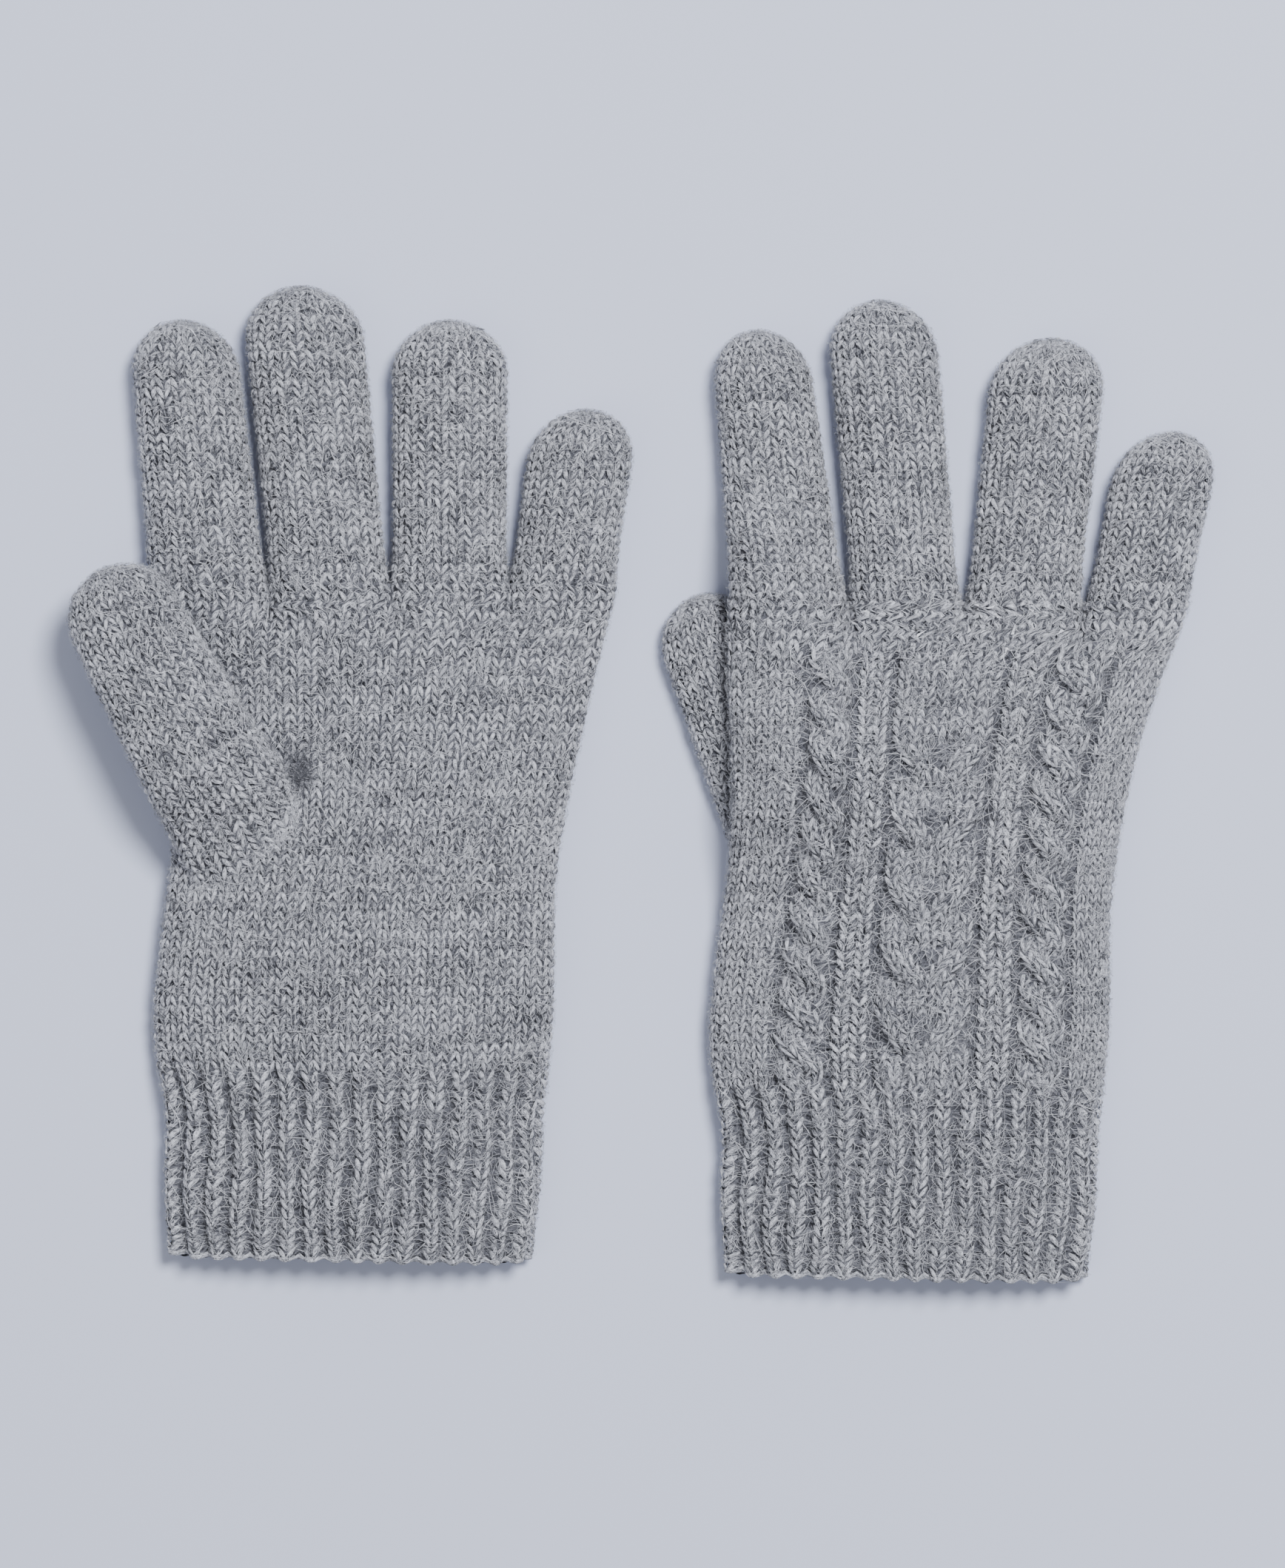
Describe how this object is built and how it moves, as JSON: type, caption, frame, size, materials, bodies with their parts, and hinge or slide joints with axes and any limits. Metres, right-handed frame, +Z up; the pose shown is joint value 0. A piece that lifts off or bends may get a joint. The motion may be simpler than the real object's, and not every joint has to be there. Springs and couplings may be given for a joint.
{
  "type": "knitted gloves",
  "caption": "Pair of five-finger knitted gloves lying flat, left palm up and right palm down, with ribbed cuffs and cabled backs.",
  "frame": {"origin": "middle of the pair's footprint, on the surface that the gloves lie on", "axes": "+X from the left glove to the right glove, +Y from the cuffs to the fingertips, +Z up from the surface"},
  "size_m": [0.2702, 0.2348, 0.0285],
  "materials": {
    "rib_knit": "matt grey melange yarn in one by one rib",
    "plain_knit": "matt grey melange yarn in plain knit, slightly fuzzy",
    "cable_knit": "matt grey melange yarn in cables and columns, slightly fuzzy"
  },
  "bodies": {
    "left_hand": {"left_cuff": "rib_knit", "left_palm": "plain_knit", "left_back": "cable_knit"},
    "left_index_base_length": {"left_index_base": "plain_knit"},
    "left_index_tip_length": {"left_index_tip": "plain_knit"},
    "left_middle_base_length": {"left_middle_base": "plain_knit"},
    "left_middle_tip_length": {"left_middle_tip": "plain_knit"},
    "left_ring_base_length": {"left_ring_base": "plain_knit"},
    "left_ring_tip_length": {"left_ring_tip": "plain_knit"},
    "left_little_base_length": {"left_little_base": "plain_knit"},
    "left_little_tip_length": {"left_little_tip": "plain_knit"},
    "right_hand": {"right_cuff": "rib_knit", "right_palm": "plain_knit", "right_back": "cable_knit"},
    "right_index_base_length": {"right_index_base": "plain_knit"},
    "right_index_tip_length": {"right_index_tip": "plain_knit"},
    "right_middle_base_length": {"right_middle_base": "plain_knit"},
    "right_middle_tip_length": {"right_middle_tip": "plain_knit"},
    "right_ring_base_length": {"right_ring_base": "plain_knit"},
    "right_ring_tip_length": {"right_ring_tip": "plain_knit"},
    "right_little_base_length": {"right_little_base": "plain_knit"},
    "right_little_tip_length": {"right_little_tip": "plain_knit"},
    "left_thumb_base_length": {"left_thumb_base": "plain_knit"},
    "left_thumb_tip_length": {"left_thumb_tip": "plain_knit"},
    "right_thumb_length": {"right_thumb": "plain_knit"}
  },
  "joints": [
    {"name": "left_index_knuckle", "type": "hinge", "parent": "left_hand", "child": "left_index_base_length", "pos_m": [-0.10285, 0.0477, 0.013], "axis": [1, 0, 0], "range_deg": [0, 60]},
    {"name": "left_index_bend", "type": "hinge", "parent": "left_index_base_length", "child": "left_index_tip_length", "pos_m": [-0.10569, 0.0769, 0.013], "axis": [1, 0, 0], "range_deg": [0, 54]},
    {"name": "left_middle_knuckle", "type": "hinge", "parent": "left_hand", "child": "left_middle_base_length", "pos_m": [-0.07405, 0.0477, 0.013], "axis": [1, 0, 0], "range_deg": [0, 60]},
    {"name": "left_middle_bend", "type": "hinge", "parent": "left_middle_base_length", "child": "left_middle_tip_length", "pos_m": [-0.07718, 0.0799, 0.013], "axis": [1, 0, 0], "range_deg": [0, 54]},
    {"name": "left_ring_knuckle", "type": "hinge", "parent": "left_hand", "child": "left_ring_base_length", "pos_m": [-0.04555, 0.0477, 0.013], "axis": [1, 0, 0], "range_deg": [0, 60]},
    {"name": "left_ring_bend", "type": "hinge", "parent": "left_ring_base_length", "child": "left_ring_tip_length", "pos_m": [-0.04555, 0.0769, 0.013], "axis": [1, 0, 0], "range_deg": [0, 54]},
    {"name": "left_little_knuckle", "type": "hinge", "parent": "left_hand", "child": "left_little_base_length", "pos_m": [-0.01895, 0.0477, 0.013], "axis": [1, 0, 0], "range_deg": [0, 60]},
    {"name": "left_little_bend", "type": "hinge", "parent": "left_little_base_length", "child": "left_little_tip_length", "pos_m": [-0.01628, 0.0669, 0.013], "axis": [1, 0, 0], "range_deg": [0, 54]},
    {"name": "right_index_knuckle", "type": "hinge", "parent": "right_hand", "child": "right_index_base_length", "pos_m": [0.03435, 0.0434, 0.0231], "axis": [1, 0, 0], "range_deg": [0, 60]},
    {"name": "right_index_bend", "type": "hinge", "parent": "right_index_base_length", "child": "right_index_tip_length", "pos_m": [0.03104, 0.0736, 0.01412], "axis": [1, 0, 0], "range_deg": [0, 54]},
    {"name": "right_middle_knuckle", "type": "hinge", "parent": "right_hand", "child": "right_middle_base_length", "pos_m": [0.06215, 0.0434, 0.013], "axis": [1, 0, 0], "range_deg": [0, 60]},
    {"name": "right_middle_bend", "type": "hinge", "parent": "right_middle_base_length", "child": "right_middle_tip_length", "pos_m": [0.05935, 0.0756, 0.013], "axis": [1, 0, 0], "range_deg": [0, 54]},
    {"name": "right_ring_knuckle", "type": "hinge", "parent": "right_hand", "child": "right_ring_base_length", "pos_m": [0.08985, 0.0434, 0.013], "axis": [1, 0, 0], "range_deg": [0, 60]},
    {"name": "right_ring_bend", "type": "hinge", "parent": "right_ring_base_length", "child": "right_ring_tip_length", "pos_m": [0.093, 0.0726, 0.013], "axis": [1, 0, 0], "range_deg": [0, 54]},
    {"name": "right_little_knuckle", "type": "hinge", "parent": "right_hand", "child": "right_little_base_length", "pos_m": [0.11695, 0.0434, 0.013], "axis": [1, 0, 0], "range_deg": [0, 60]},
    {"name": "right_little_bend", "type": "hinge", "parent": "right_little_base_length", "child": "right_little_tip_length", "pos_m": [0.12062, 0.0616, 0.013], "axis": [1, 0, 0], "range_deg": [0, 54]},
    {"name": "left_thumb_knuckle", "type": "hinge", "parent": "left_hand", "child": "left_thumb_base_length", "pos_m": [-0.0913, -0.01525, 0.0163], "axis": [0.8746, 0.4848, 0], "range_deg": [0, 32]},
    {"name": "left_thumb_bend", "type": "hinge", "parent": "left_thumb_base_length", "child": "left_thumb_tip_length", "pos_m": [-0.11147, 0.02114, 0.0287], "axis": [0.8746, 0.4848, 0], "range_deg": [0, 24]},
    {"name": "right_thumb_swing", "type": "hinge", "parent": "right_hand", "child": "right_thumb_length", "pos_m": [0.02237, -0.02364, 0.0048], "axis": [0, 0, 1], "range_deg": [0, 8]},
    {"name": "right_glove_slide", "type": "slide", "parent": "left_hand", "child": "right_hand", "axis": [1, 0, 0], "range_m": [0, 0.06]}
  ],
  "couplings": [
    {"joint": "left_index_bend", "follows": "left_index_knuckle", "ratio": 0.9},
    {"joint": "left_middle_bend", "follows": "left_middle_knuckle", "ratio": 0.9},
    {"joint": "left_ring_bend", "follows": "left_ring_knuckle", "ratio": 0.9},
    {"joint": "left_little_bend", "follows": "left_little_knuckle", "ratio": 0.9},
    {"joint": "right_index_bend", "follows": "right_index_knuckle", "ratio": 0.9},
    {"joint": "right_middle_bend", "follows": "right_middle_knuckle", "ratio": 0.9},
    {"joint": "right_ring_bend", "follows": "right_ring_knuckle", "ratio": 0.9},
    {"joint": "right_little_bend", "follows": "right_little_knuckle", "ratio": 0.9},
    {"joint": "left_thumb_bend", "follows": "left_thumb_knuckle", "ratio": 0.75}
  ]
}
